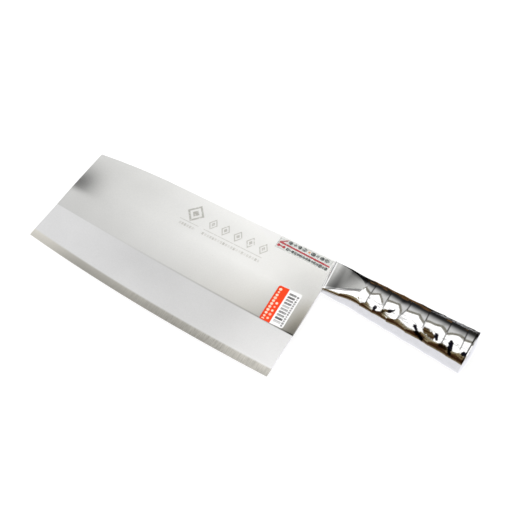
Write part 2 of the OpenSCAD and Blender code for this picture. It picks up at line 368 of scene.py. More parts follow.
class Blade:
    """The blade's outline and flank in its own millimetres, x from the tip and depth down from the spine."""

    def __init__(self, settings, handle):
        for key in BladeSettings.__annotations__:
            if key not in ("steel", "satin"):
                setattr(self, key, getattr(settings, key) / MM)
        self.tip_low = Vector((self.tip_rake, -self.spine_drop - self.tip_h))
        self.heel_low = Vector((self.blade_len + self.heel_rake, -self.heel_h))
        along = self.heel_low - self.tip_low
        self.edge_r = (along.length_squared / 4 + self.edge_bow**2) / (2 * self.edge_bow)
        up = Vector((-along.y, along.x)).normalized()
        self.edge_centre = (self.tip_low + self.heel_low) / 2 + up * (self.edge_r - self.edge_bow)
        self.spine_r = (self.spine_bend**2 + self.spine_drop**2) / (2 * self.spine_drop)
        drop = (self.spine_t - self.shoulder_t) / 2
        self.roll_r = (self.roll_w**2 + drop**2) / (2 * drop)
        self.thin_slope = (self.shoulder_t - self.thin_t) / 2 / (self.heel_h - self.shoulder_y - self.bevel_w)
        self.bevel_slope = (self.thin_t - self.edge_t) / 2 / self.bevel_w
        self.neck_low, self.spine_end = handle.neck_low, handle.spine_end

    def spine(self, x):
        return self.spine_r - math.sqrt(self.spine_r**2 - max(0, self.spine_bend - x) ** 2)

    def edge(self, x, inset=0):
        return math.sqrt((self.edge_r - inset) ** 2 - (x - self.edge_centre.x) ** 2) - self.edge_centre.y

    def shoulder(self, x):
        return self.shoulder_y - self.shoulder_r + math.sqrt(self.shoulder_r**2 - (x - self.shoulder_x) ** 2)

    def tip_side(self, depth):
        return self.tip_rake * (depth - self.spine_drop) / self.tip_h

    def heel_side(self, depth):
        neck = -self.neck_low.y
        if depth < neck:
            return lerp(self.spine_end.x, self.neck_low.x, depth / neck)
        return lerp(self.neck_low.x, self.heel_low.x, (depth - neck) / (self.heel_h - neck))

    def half(self, x, depth):
        """Half the blade's thickness."""
        above = self.shoulder(x) - depth
        plate = self.spine_t / 2
        if above < 0:
            plate = self.shoulder_t / 2 + self.thin_slope * above
        elif above < self.roll_w:
            plate -= (self.roll_w - above) ** 2 / (2 * self.roll_r)
        to_edge = self.edge(x) - depth
        return max(self.edge_t / 2, min(plate, self.edge_t / 2 + self.bevel_slope * to_edge))


class Handle:
    """The hammered handle's skin in its own millimetres, s along the axis and turn round it."""

    PANE_SHARES = (0, 0.16, 0.36, 0.55, 0.76, 0.92, 1)
    # How far each crest leans and bends, in mm, and how far down the upper face it shows, in degrees.
    CRESTS = (
        (0, 0, 0),
        (0, 0, 48),
        (-1.0, 0, 34),
        (2.0, -6.5, 46),
        (-1.6, 0, 30),
        (-1.2, 0, 46),
        (-1.8, 0, 34),
        (0, 0, 0),
    )
    # How each pane of the upper face was struck: where along it the deepest point lies, and how deep it is.
    # The panes of the side rows are all alike.
    FACE_BLOWS = ((0.3, 1.3), (0.54, 1.25), (0.6, 0.7), (0.58, 0.7), (0.63, 0.45), (0.46, 0.6), (0.8, 0.4))
    SIDE_BLOW = (0.5, 0.55)

    def __init__(self, settings, blade_len):
        for key in HandleSettings.__annotations__:
            value = getattr(settings, key)
            if key in ("droop", "neck_slant", "pane_reach"):
                setattr(self, key, value)
            elif key not in ("steel", "polish"):
                setattr(self, key, value / MM)
        self.neck = Vector((blade_len, -self.neck_inset - self.neck_w / 2, 0))
        self.to_blade = Matrix.Translation(self.neck) @ Matrix.Rotation(-self.droop, 4, "Z")
        self.to_table = (
            BLADE_TO_TABLE @ Matrix.Translation(self.neck * MM) @ Matrix.Rotation(-self.droop, 4, "Z")
        )
        # The neck's front line, and where it meets the line of the spine.
        self.neck_low = self.to_blade @ Vector((0, -self.neck_w / 2, 0))
        self.neck_top = self.to_blade @ Vector((self.lean(0, self.neck_w / 2), self.neck_w / 2, 0))
        rise = self.neck_low.y / (self.neck_low.y - self.neck_top.y)
        self.spine_end = self.neck_low + (self.neck_top - self.neck_low) * rise
        # The crests of the upper face, and those of the side rows halfway between them.
        panes = self.handle_len - self.first_crest
        self.face_cuts = [self.neck_len, *(self.first_crest + share * panes for share in self.PANE_SHARES)]
        middles = [(a + b) / 2 for a, b in zip(self.face_cuts, self.face_cuts[1:])]
        self.side_cuts = [self.neck_len / 2, *middles, self.handle_len]
        self.side_blows = (self.SIDE_BLOW,) * (len(self.side_cuts) - 1)

    def lean(self, s, y):
        return -(y + self.neck_w / 2) * math.tan(self.neck_slant) * max(0, 1 - s / self.neck_len)

    def half_w(self, s):
        if s < self.neck_len:
            return lerp(self.neck_w, self.round_w, s / self.neck_len) / 2
        return lerp(self.round_w, self.butt_w, (s - self.neck_len) / (self.handle_len - self.neck_len)) / 2

    def half_t(self, s):
        if s < self.neck_len:
            return lerp(self.neck_t, self.round_t, s / self.neck_len) / 2
        return lerp(self.round_t, self.butt_t, (s - self.neck_len) / (self.handle_len - self.neck_len)) / 2

    def flat_w(self, s, turn):
        """Half width of the neck's straight part, which fades sooner on the side of the edge."""
        fade = max(0, 1 - (s / self.neck_len) ** (1.5 if turn > 0 else 1))
        return (self.neck_w / 2 - self.neck_r) * fade

    # The pressed flat's hollow in mm, at its middle and at its front, and the heights over the axis between
    # which it deepens. Then the rounding of the flat's front line.
    DISH_MIDDLE = 0.5
    DISH_FRONT = 0.3
    DISH_FROM, DISH_TO = -9, 3
    FRONT_LEN = 2.6
    FRONT_DROP = 1.2

    def pressed(self, s, y):
        """Height of the neck's pressed flat, y over the axis."""
        low = self.neck_t / 2 - self.neck_press
        share = min(1, s / self.neck_len)
        up = clamp((y - self.DISH_FROM) / (self.DISH_TO - self.DISH_FROM))
        dish = (self.DISH_MIDDLE * 4 * share + self.DISH_FRONT) * (1 - share) * up * up * (3 - 2 * up)
        front = self.FRONT_DROP * max(0, 1 - s / self.FRONT_LEN) ** 2
        return low + s * (self.round_t / 2 - low) / self.neck_len - dish - front

    def hollow(self, s, cuts, blows):
        """Depth of the pane that s lies in: two half parabolas that meet at its deepest point."""
        for low, high, (middle, force) in zip(cuts, cuts[1:], blows):
            if low <= s <= high:
                share = (s - low) / (high - low)
                off = (middle - share) / middle if share < middle else (share - middle) / (1 - middle)
                return force * (high - low) ** 2 / (8 * self.hammer_r) * (1 - off * off)
        return 0

    # The fine unevenness that the hammer and the polishing left: its height and length in mm.
    WOBBLE = 0.07
    WOBBLE_LEN = 5.5
    WOBBLE_SEED = 40

    def relief(self, s, turn):
        """How far the hammer drove the steel in."""

        def fade(off):
            return max(0, 1 - (off / self.pane_reach) ** 4)

        face = self.hollow(s, self.face_cuts, self.FACE_BLOWS) * fade(abs(turn))
        side = self.hollow(s, self.side_cuts, self.side_blows) * fade(math.pi / 2 - abs(turn))
        here = Vector((s, turn * self.half_w(s), self.WOBBLE_SEED)) / self.WOBBLE_LEN
        uneven = (0.5 + 0.5 * noise.noise(here)) * clamp(s / self.neck_len * 2 - 1)
        return max(0, face, side) + self.WOBBLE * uneven

    def wander(self, s, turn):
        """How far the crests lean and bend along the handle as they cross the upper face."""
        low = high = 0
        for cut, (lean, bend, _) in zip(self.face_cuts, self.CRESTS):
            share = math.sin(turn) * lean + math.sin(turn) ** 2 * bend
            if cut <= s:
                low, low_cut = share, cut
            else:
                high, high_cut = share, cut
                break
        else:
            return low
        if s < self.face_cuts[0]:
            return 0
        return lerp(low, high, (s - low_cut) / (high_cut - low_cut))

    # A crest's half width in mm, the highest turn at which it shows and how softly it ends. Then the rim: its
    # width, how softly it starts, the lowest turn at which it shows and how softly it ends.
    CREST_HALF = 0.75
    CREST_TOP = math.radians(28)
    CREST_FADE = 0.15
    RIM = 1.2
    RIM_SOFT = 0.3
    RIM_LOW = math.radians(-60)
    RIM_FADE = 0.1

    def crest(self, s, turn):
        """1 on a crest line of the upper face, which is painted dark as painted shade, or on the rim, a dark
        joint, and 0 off them.
        """
        crests = zip(self.face_cuts, self.CRESTS)
        near, reach = min((abs(s - cut), reach) for cut, (_, _, reach) in crests if reach)
        ends = min(math.radians(reach) + turn, self.CREST_TOP - turn) / self.CREST_FADE
        line = min(1 - near / self.CREST_HALF, ends)
        rim = min((s - self.handle_len + self.RIM) / self.RIM_SOFT, (turn - self.RIM_LOW) / self.RIM_FADE)
        return clamp(max(line, rim))

    # The neck's flat is painted with the light and shade of its reflections, from the lines and shares below.
    # Lines on the neck, as distances from its front and heights over the axis in mm: the flat's lower line,
    # and the crease below it.
    FLAT_LOW = ((2, -12.3), (6, -11.6), (8, -10.8), (10, -8.9), (14, -6.8), (18, -5), (24, -3.4))
    CREASE_LOW = ((2, -12.3), (8, -10.2), (12, -9), (16, -7.9), (20, -6.2), (24, -4.2), (27, -2.5))
    # How far up the flat's rear part fades.
    FLAT_FADE = ((12, 10.5), (16, 8.6), (20, 7), (24, 7))
    # Where the flat's shading starts, turns from its front to its rear part, and ends.
    FLAT_START, FLAT_FRONT, FLAT_REAR, FLAT_END = 2, 9, 14, 27
    # The share of light that the flat gives back at its start and where it is darkest, at the end of its front,
    # and how sharply that share falls and grows again.
    START_LIGHT, DARKEST_LIGHT = 0.85, 0.25
    FRONT_EASE, REAR_EASE = 2, 0.8
    # Half widths of the soft lines in mm, and the light that the crease gives back on and off the flat.
    LOW_HALF = 0.7
    CREASE_HALF = 0.55
    CREASE_LIGHT = (0.5, 0.2)
    # Over how many mm the crease grows dark, the light below it grows full, and the shading fades at its end.
    CREASE_GROWS, LIGHT_GROWS, END_FADES = 8, 0.4, 1.5
    # The light below the flat's lower line, on and off the flat.
    BELOW_LIGHT = (0.9, 0.45)
    # A soft painted dark reflection on a pane: its place and half length in mm, its turn and half reach, and
    # its strength.
    BLOT_AT, BLOT_LEN = 54, 2.6
    BLOT_TURN, BLOT_REACH = math.radians(19), math.radians(8)
    BLOT = 0.8

    def axis_light(self, s):
        """The share of light that the flat gives back along the axis: it dips where the front ends."""
        if s < self.FLAT_FRONT:
            ahead = (self.FLAT_FRONT - s) / (self.FLAT_FRONT - self.FLAT_START)
            return lerp(self.DARKEST_LIGHT, self.START_LIGHT, ahead**self.FRONT_EASE)
        behind = (s - self.FLAT_FRONT) / (self.FLAT_END - self.FLAT_FRONT)
        return lerp(self.DARKEST_LIGHT, 1, behind**self.REAR_EASE)

    def flat_light(self, s, y, low):
        """The share of light that the neck's flat gives back, y over the axis."""
        rear = clamp((s - self.FLAT_FRONT) / (self.FLAT_REAR - self.FLAT_FRONT))
        if y > 0:
            slope = lerp(1 + 0.1 * y, max(0.25, 1 - (y / along_line(self.FLAT_FADE, s)) ** 2), rear)
        else:
            slope = 1 + 0.035 * y * (1 - rear)
        shadow = max(0, 1 - abs(y - low - 0.5) / self.LOW_HALF) * (1 - rear * 0.8)
        return self.axis_light(s) * slope * (1 - 0.3 * shadow)

    def dull(self, s, turn):
        """How much painted shade darkens the steel, mostly on the neck's flat, where it paints the light and
        shade of its reflections.
        """
        if s > self.FLAT_END:
            off = ((s - self.BLOT_AT) / self.BLOT_LEN) ** 2 + ((turn - self.BLOT_TURN) / self.BLOT_REACH) ** 2
            return self.BLOT * math.exp(-off)
        if s < self.FLAT_START:
            return 0
        y = self.skin(s, turn).y
        off_flat = self.half_t(s) * math.cos(turn) <= self.pressed(s, y)
        low, crease = along_line(self.FLAT_LOW, s), along_line(self.CREASE_LOW, s)
        above = clamp((y - low) / self.LOW_HALF)
        light = lerp(self.BELOW_LIGHT[off_flat], self.flat_light(s, y, low), above)
        line = max(0, 1 - abs(y - crease) / self.CREASE_HALF)
        line *= min(1, (s - self.FLAT_START) / self.CREASE_GROWS)
        light = lerp(light, self.CREASE_LIGHT[off_flat], line)
        if y < crease:
            light += (crease - y) / self.LIGHT_GROWS
        return (1 - min(1, light)) * min(1, (self.FLAT_END - s) / self.END_FADES)

    # Dark and warm patches of painted reflection in the hollows: two ends, in mm along and degrees round, and
    # half a width.
    DARK = (
        (39.2, -38, 39.6, -48, 1.0),
        (50.0, -30, 52.8, -22, 0.9),
        (69.2, -32, 71.5, -44, 1.0),
        (71.5, -44, 76, -56, 1.3),
        (83.3, -24, 84.4, -35, 1.2),
        (94.2, -25, 94.4, -38, 1.4),
        (94.4, -38, 96, -52, 1.2),
        (104.0, -35, 106, -33, 1.5),
    )
    WARM = (
        (45, -38, 50.5, -30, 1.1),
        (75.5, -28, 81.5, -34, 1.9),
        (88, -45, 92, -44, 1.3),
    )
    # How much wider a patch starts to fade, and how ragged and how soft its outline is, in mm.
    PATCH_WIDER = 1.2
    PATCH_RAGGED = 0.9
    PATCH_SOFT = 0.45
    PATCH_SEED = 7

    def patch(self, spots, s, turn):
        """1 inside the patches and 0 outside."""
        here = Vector((s, turn * self.half_w(s)))
        ragged = self.PATCH_RAGGED * noise.noise(Vector((s, turn * 14, self.PATCH_SEED)) * 0.9)
        most = 0
        for s0, turn0, s1, turn1, half in spots:
            start = Vector((s0, math.radians(turn0) * self.half_w(s0)))
            step = Vector((s1, math.radians(turn1) * self.half_w(s1))) - start
            share = clamp((here - start).dot(step) / step.length_squared)
            off = (here - start - step * share).length + ragged
            most = max(most, min(1, (half * self.PATCH_WIDER - off) / self.PATCH_SOFT))
        return most

    def skin(self, s, turn):
        depth = self.relief(s, turn)
        s += self.wander(s, turn) * max(0, math.cos(turn))
        flat, half_w, half_t = self.flat_w(s, turn), self.half_w(s), self.half_t(s)
        side = math.copysign(1, turn) if turn else 0
        y = side * flat + (half_w - flat) * math.sin(turn)
        z = min(half_t * math.cos(turn), self.pressed(s, y))
        lean = self.lean(s, y)
        return Vector((s + lean, y - depth * math.sin(turn), max(0, z - depth * math.cos(turn))))


def handle_of(scene):
    return Handle(scene.cleaver_handle, scene.cleaver_blade.blade_len / MM)


def blade_of(scene):
    return Blade(scene.cleaver_blade, handle_of(scene))


# ---------------------------------------------------------------- operators


class CLEAVER_OT_blade(bpy.types.Operator):
    """Build the ground blade"""

    bl_idname = "cleaver.blade"
    bl_label = "Blade"

    # Faces along the blade, and down its flat part, its thin plane and its bevel.
    COLUMNS = 220
    ROWS = (34, 26, 6)
    ROUNDS = 4

    def execute(self, context):
        blade = blade_of(context.scene)
        grid = bmesh.new()
        total = sum(self.ROWS)
        bmesh.ops.create_grid(grid, x_segments=self.COLUMNS, y_segments=total, size=0.5)
        for vert in grid.verts:
            share = vert.co.x + 0.5
            row = round((0.5 - vert.co.y) * total)
            vert.co = self.flank_point(blade, share, row)
        rim = [edge for edge in grid.edges if edge.is_boundary]
        wall = bmesh.ops.extrude_edge_only(grid, edges=rim)["geom"]
        for vert in wall:
            if isinstance(vert, bmesh.types.BMVert):
                vert.co.z = 0
        geometry = grid.verts[:] + grid.edges[:] + grid.faces[:]
        bmesh.ops.mirror(grid, geom=geometry, axis="Z", merge_dist=WELD)
        bmesh.ops.remove_doubles(grid, verts=grid.verts, dist=WELD)
        finish_piece("ground_blade", grid, BLADE_TO_TABLE, blade_steel(context), "blade_steel", "blade")
        return {"FINISHED"}

    def flank_point(self, blade, share, row):
        """A point on the flank, by its share of the length and its row. A few rounds settle its place."""
        x = blade.blade_len * share
        for _ in range(self.ROUNDS):
            stops = (blade.spine(x), blade.shoulder(x), blade.edge(x, blade.bevel_w), blade.edge(x))
            left = row
            for low, high, rows in zip(stops, stops[1:], self.ROWS):
                if left <= rows:
                    depth = lerp(low, high, left / rows)
                    break
                left -= rows
            x = lerp(blade.tip_side(depth), blade.heel_side(depth), share)
        return Vector((x, -depth, blade.half(x, depth)))


def blade_steel(context):
    settings = context.scene.cleaver_blade
    blade = blade_of(context.scene)
    material, tree = new_material("satin_blade_steel")
    here = tree.place(BLADE_TO_TABLE)
    x, y, _ = tree.axes(here)
    depth = -y
    above = blade.shoulder_y - (x - blade.shoulder_x) ** 2.0 / (2 * blade.shoulder_r) - depth
    to_edge = blade.edge_r - ((x - blade.edge_centre.x) ** 2.0 + (y - blade.edge_centre.y) ** 2.0) ** 0.5
    upper = above.rise(-0.3, 0.3)
    lower = 1 - upper
    ground = to_edge.rise(blade.bevel_w + 0.6, blade.bevel_w - 1.2)
    # A thin dark line painted along the shoulder, stronger towards the heel: painted shade at the crease.
    shoulder = above.bump(0.2, 1.1) * x.rise(20, 200)
    grain = tree.noise(here, 1.1, 3, 0.7)
    clouds = tree.noise(here, 0.035, 2)
    scores = tree.noise(tree.stretched(here, (1.6, 0.12, 1.0)), 1.0, 3, 0.6)

    # The flat part is painted lighter towards the heel and the spine, as painted light, and darker beside the
    # neck, as painted shade.
    lit = x.rise(-10, 200) * 0.4 + depth.rise(16, 0) * (x.rise(60, 170) * 0.05 + 0.05) + 0.735
    lit = lit - x.rise(172, 216) * depth.rise(2, 36) * 0.24
    # The thin part below the shoulder is painted lighter towards the heel, as painted light, and darker about
    # its middle, as painted shade.
    thin_lit = x.rise(165, 200) * 0.085 - x.bump(92, 62) * depth.rise(96, 72) * 0.06 + 0.8
    # Painted shade: the roll darkens towards the shoulder, most near the heel, and the heel beside the neck is
    # painted darker too.
    roll_reach = 31
    rolled = (1 - above / roll_reach).at_least(0.0) * upper
    rolled = rolled * ((x / 185) ** 2.0 * 0.38 + 0.09 - x.rise(195, 222) * 0.16)
    heel = x.rise(208, 220) * depth.rise(26, 62) * upper
    # A painted dark reflection at the tip, and a paler one that trails off along the blade.
    painted_tip_reflection = ((((x - 3) / 16) ** 2.0 + ((depth - 35) / 15) ** 2.0) * -1).math("EXPONENT")
    painted_tip_reflection = painted_tip_reflection * depth.rise(48, 40) + x.rise(60, 10) * depth.bump(38, 16) * 0.08
    # The ground bevel is scored across, and lighter towards the tip.
    worn = (scores - 0.5) * 0.6 * x.rise(40, 190) + x.rise(60, 8) * 0.26
    bevel = x.rise(60, 200) * 0.05 + 0.31 - worn + to_edge.rise(blade.bevel_w, 0.5) * 0.1

    shade = upper * lit + lower * thin_lit + (grain - 0.5) * 0.12 + (clouds - 0.5) * 0.06
    shade = shade - painted_tip_reflection * 0.46 - rolled - heel * 0.28 - shoulder * 0.22 - ground * bevel
    etch = etched(tree, x, depth)
    # A warm tint: on the roll and the heel it warms the painted shade, and on the bevel and the etch it is the
    # steel's own tone.
    warm_shade_and_tint = (rolled * x.rise(90, 215) + heel) * 0.8 + ground * 0.6 + etch * 0.4
    tone = tree.tint(settings.steel[:], shade * (1 - etch * 0.42))
    warm = tree.mix(warm_shade_and_tint, (1.0, 1.0, 1.0), (1.0, 0.95, 0.84))
    warm = tree.mix(lower * (1 - ground) * 0.5, warm, (0.985, 0.985, 1.03))
    tone = tree.node("ShaderNodeVectorMath", {"operation": "MULTIPLY"}, {0: tone, 1: warm})
    tree.surface(
        {
            "Base Color": tone,
            "Metallic": 1.0,
            "Roughness": (grain - 0.5) * 0.1 + settings.satin,
            "Normal": tree.bumped(grain, 0.12, 0.05),
        }
    )
    return material


def lozenge(across, down, half_w, half_h):
    """A plain lozenge: an outline round a solid heart."""
    reach = abs(across) / half_w + abs(down) / half_h
    return reach.between(0.74, 1.0, 0.08) + reach.rise(0.46, 0.34)


def etched(tree, x, depth):
    """The faint etched row high on the flank: lozenges over a fine rule and short dashes."""
    low, pitch, count = 115.3, 11.2, 5
    off = x - low - (((x - low) / pitch).math("FLOOR") + 0.5) * pitch
    row = lozenge(off, depth - 17.5, 3.7, 5.4) * x.between(low, low + count * pitch, 0.1)
    large = lozenge(x - 103.4, depth - 15.5, 7.6, 8.4)
    rule = depth.between(24.6, 25.1, 0.25) * (x.between(95, 112.5, 0.3) + x.between(117, 169, 0.3))
    step = 2.35
    cell = (x / step).math("FLOOR")
    dash = abs(x / step - cell - 0.5).rise(0.42, 0.3) * depth.between(27.3, 29.6, 0.3)
    dash = dash * (tree.chance(cell) * 0.7 + 0.3) * (x.between(96, 111, 0.3) + x.between(117, 169, 0.3))
    wear = tree.noise(tree.place(BLADE_TO_TABLE), 0.5, 3).rise(0.2, 0.5)
    return (row * 0.8 + large + rule * 0.7 + dash * 0.8).at_most(1.0) * wear


class CLEAVER_OT_handle(bpy.types.Operator):
    """Build the two hammered shells of the handle"""

    bl_idname = "cleaver.handle"
    bl_label = "Hammered handle"

    # Faces along a pane, along the neck and round a shell, and the height of the neck's front wall in mm.
    PER_PANE = 34
    IN_NECK = 56
    AROUND = 110
    FRONT_WALL = 1.0

    def execute(self, context):
        handle = handle_of(context.scene)
        material = handle_steel(context)
        stops = self.stops(handle)
        columns = len(stops) - 1
        # Painted on the upper shell: the crest lines, the painted shade of the neck's flat, and the painted
        # dark and warm reflections.
        shades = {
            "crest": handle.crest,
            "dull": handle.dull,
            "dark": lambda s, turn: handle.patch(handle.DARK, s, turn),
            "warm": lambda s, turn: handle.patch(handle.WARM, s, turn),
        }
        for name, node, upper in (
            ("hammered_upper_shell", "handle_upper_shell", True),
            ("hammered_lower_shell", "handle_lower_shell", False),
        ):
            shell = bmesh.new()
            layers = {key: shell.verts.layers.float.new(key) for key in shades}
            bmesh.ops.create_grid(shell, x_segments=columns, y_segments=self.AROUND, size=0.5)
            for vert in shell.verts:
                s = stops[round((vert.co.x + 0.5) * columns)]
                turn = vert.co.y * math.pi
                vert.co = handle.skin(s, turn)
                if upper:
                    for key, shade in shades.items():
                        vert[layers[key]] = shade(s, turn)
            front = [v for v in shell.verts if v.co.x - handle.lean(0, v.co.y) < WELD]
            front_edges = [e for e in shell.edges if e.is_boundary and all(v in front for v in e.verts)]
            wall = bmesh.ops.extrude_edge_only(shell, edges=front_edges)["geom"]
            for vert in wall:
                if isinstance(vert, bmesh.types.BMVert):
                    vert.co.z = min(vert.co.z, self.FRONT_WALL)
            bmesh.ops.recalc_face_normals(shell, faces=shell.faces)
            bmesh.ops.solidify(shell, geom=shell.faces[:], thickness=handle.wall)
            if not upper:
                bmesh.ops.transform(shell, matrix=Matrix.Scale(-1, 4, (0, 0, 1)), verts=shell.verts)
            finish_piece(name, shell, handle.to_table, material, "handle_steel", node)
        return {"FINISHED"}

    def stops(self, handle):
        """Columns along the handle, with one on every crest."""
        columns = [handle.neck_len * i / self.IN_NECK for i in range(self.IN_NECK)]
        for low, high in zip(handle.face_cuts, handle.face_cuts[1:]):
            columns += [lerp(low, high, i / self.PER_PANE) for i in range(self.PER_PANE)]
        return [*columns, handle.handle_len]


def handle_steel(context, name="polished_handle_steel"):
    settings = context.scene.cleaver_handle
    material, tree = new_material(name)
    here = tree.place(handle_of(context.scene).to_table)
    along, y, z = tree.axes(here)
    clouds = tree.noise(here, 0.3, 3)
    streaks = tree.noise(tree.stretched(here, (0.1, 0.8, 0.8)), 1.0, 2)
    belly = along.rise(24, 32) * y.rise(-3.5, -6) * z.rise(6, 8)
    # Crest lines are painted dark as painted shade, and the rim where the shell meets the cap is painted dark
    # as a joint.
    tone = tree.tint(settings.steel[:], (1 - tree.attribute("crest") * 0.85) * ((clouds - 0.5) * 0.16 + 1))
    # The neck's flat and one blot behind it are painted darker as painted shade and reflection, and the belly
    # behind the neck is painted darker in streaks.
    tone = tree.tint(tone, (1 - tree.attribute("dull")) * (1 - streaks.bump(0.57, 0.06) * belly * 0.55))
    # The warm patches are painted reflections of the brown room, dark brown with gold streaks, and the dark
    # patches are painted dark reflections.
    warm_reflection_tone = tree.mix(streaks.rise(0.42, 0.6) * 0.35, (0.02, 0.009, 0.003), (0.12, 0.1, 0.05))
    tone = tree.mix(tree.attribute("warm"), tone, warm_reflection_tone)
    tone = tree.mix(tree.attribute("dark"), tone, (0.002, 0.002, 0.004))
    roughness = (clouds - 0.5) * 0.06 + settings.polish
    tree.surface({"Base Color": tone, "Metallic": 1.0, "Roughness": roughness})
    return material


class CLEAVER_OT_fittings(bpy.types.Operator):
    """Finish the butt cap and the neck weld"""

    bl_idname = "cleaver.fittings"
    bl_label = "Butt cap and neck weld"

    def execute(self, context):
        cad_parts["end_cap"].data.materials[0] = handle_steel(context, "polished_cap_steel")
        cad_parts["neck_weld"].data.materials[0] = handle_steel(context)
        return {"FINISHED"}


class CLEAVER_OT_stickers(bpy.types.Operator):
    """Finish the price sticker and the clear label"""

    bl_idname = "cleaver.stickers"
    bl_label = "Stickers"

    def execute(self, context):
        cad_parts["price_sticker"].data.materials[0] = sticker_paper(context)
        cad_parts["clear_label"].data.materials[0] = label_film(context)
        return {"FINISHED"}


def marks(tree, along, across, span, pitch, line, size, slender=1.0):
    """A row of plain round marks of mixed sizes and strengths along a line."""
    start, end = span
    cell = ((along - start) / pitch).math("FLOOR")
    off = along - start - (cell + 0.5) * pitch
    own_size = (tree.chance(cell + 3) * 0.4 + 0.8) * size
    strength = tree.chance(cell + 17) * 0.4 + 0.8
    return spot(off * slender, across - line, own_size) * along.between(start, end, 0.05) * strength


def spot(along, across, size):
    """One plain round mark with a soft rim."""
    return ((along**2.0 + across**2.0) ** 0.5 / size).rise(1.2, 0.8)


# Plain bands of stripes down the white half of the price sticker: their first and last edge, how far apart they
# start, how wide they are, and the width of one stripe.
BANDS_START, BANDS_END = 2.0, 28.0
BAND_PITCH, BAND_WIDTH = 2.6, 1.7
STRIPE_PITCH = 0.42


def stripes(tree, along, across):
    """Even bands of stripes of mixed darkness across the strip."""
    worn = tree.noise(tree.place(BLADE_TO_TABLE), 1.3, 1)
    fine = tree.chance((along / STRIPE_PITCH).math("FLOOR")) * 0.5 + worn + 0.25
    cell = ((along - BANDS_START) / BAND_PITCH).math("FLOOR")
    off = along - BANDS_START - (cell + 0.5) * BAND_PITCH
    dark = tree.chance(cell + 29) * 0.7 + 0.35
    bands = off.between(-BAND_WIDTH / 2, BAND_WIDTH / 2, 0.15) * along.between(BANDS_START, BANDS_END, 0.05)
    return (bands * dark * fine * across.between(0.5, 6.0, 0.3)).at_most(1.0)


def sticker_paper(context):
    settings = context.scene.cleaver_stickers
    blade_len = context.scene.cleaver_blade.blade_len
    material, tree = new_material("sticker_paper")
    middle = Matrix.Translation((blade_len - settings.price_back, -settings.price_down, 0))
    here = tree.place(BLADE_TO_TABLE @ middle @ Matrix.Rotation(settings.price_turn, 4, "Z"))
    across, up, _ = tree.axes(here)
    down = settings.price_len / MM / 2 - up
    fibre = tree.noise(here, 0.9, 3)
    ticks = marks(tree, down, across, (2.6, 29.0), 1.9, 7.4, 0.8, 1.1) * 0.7
    dark = (stripes(tree, down, across) + ticks).at_most(1.0)
    white = tree.tint((0.93, 0.93, 0.94), (fibre - 0.5) * 0.06 + 1)
    white = tree.mix(dark, white, (0.035, 0.035, 0.04))
    pale = marks(tree, down, across, (1.6, 29), 2.62, -6.8, 1.0)
    pale = pale + marks(tree, down, across, (12.6, 29.3), 3.25, -3.7, 0.85) * 0.9
    orange = tree.tint(settings.orange[:], (fibre - 0.5) * 0.25 + 1 - across.rise(-5.5, -8.5) * 0.14)
    orange = tree.mix(pale.at_most(1.0), orange, (0.93, 0.76, 0.6))
    tree.surface(
        {
            "Base Color": tree.mix(across.rise(-0.75, -1.15), white, orange),
            "Roughness": 0.5,
            "Specular IOR Level": 0.2,
            "Normal": tree.bumped(fibre, 0.1, 0.05),
        }
    )
    return material


def label_film(context):
    settings = context.scene.cleaver_stickers
    material, tree = new_material("label_film")
    end = handle_of(context.scene).neck_top.x * MM - settings.clear_back
    corner = Matrix.Translation((end - settings.clear_len, -settings.clear_down, 0))
    here = tree.place(BLADE_TO_TABLE @ corner)
    along, y, _ = tree.axes(here)
    down = -y
    wear = tree.noise(here, 1.4, 3)
    # The red rule slants a little down the strip, with a short bar across its start and tabs below.
    rule = (down - along * 0.034).between(3.7, 5.2, 0.25) * along.between(1.2, 43.8, 0.2)
    bar = (down + along * 0.72 - 5.6).bump(0, 1.8) * along.between(1.2, 6.6, 0.4)
    tabs = marks(tree, along, down, (0.9, 7.5), 2.2, 7.4, 1.1, 0.8)
    red = (rule + bar * 0.85 + tabs).at_most(1.0) * wear.rise(0.25, 0.45)
    # Two rows of dark dots above the rule and two below it, and a warm dot between the upper ones.
    lower = down - along * 0.02
    black = marks(tree, along, down, (7.2, 22.8), 3.9, 1.8, 1.45, 0.9)
    black = black + marks(tree, along, down, (26.6, 41.8), 3.7, 2.2, 1.45, 0.85)
    black = black + marks(tree, along, lower, (8.6, 36.3), 2.3, 7.6, 1.1, 0.8)
    black = black + marks(tree, along, lower, (36.4, 43.4), 2.33, 7.8, 1.35, 0.9)
    black = (black * wear.rise(0.3, 0.55)).at_most(1.0)
    warm = spot(along - 25.0, down - 2.1, 0.9)
    tone = tree.mix(red, (0.8, 0.83, 0.81), settings.red[:])
    tone = tree.mix(warm, tone, (0.75, 0.35, 0.16))
    tone = tree.mix(black, tone, (0.05, 0.06, 0.06))
    ink = (red * 0.9).at_least(black * 0.95).at_least(warm * 0.8)
    film = 0.28
    tree.surface({"Base Color": tone, "Roughness": 0.3, "Alpha": ink.at_least(film)})
    return material


def soft_edge(low, high, dark, steps=10):
    """Stops of grey that grow smoothly from dark at the height low to white at the height high."""
    shares = [step / steps for step in range(steps + 1)]
    levels = [lerp(dark, 1, share * share * (3 - 2 * share)) for share in shares]
    return [(lerp(low, high, share), (level,) * 3) for share, level in zip(shares, levels)]


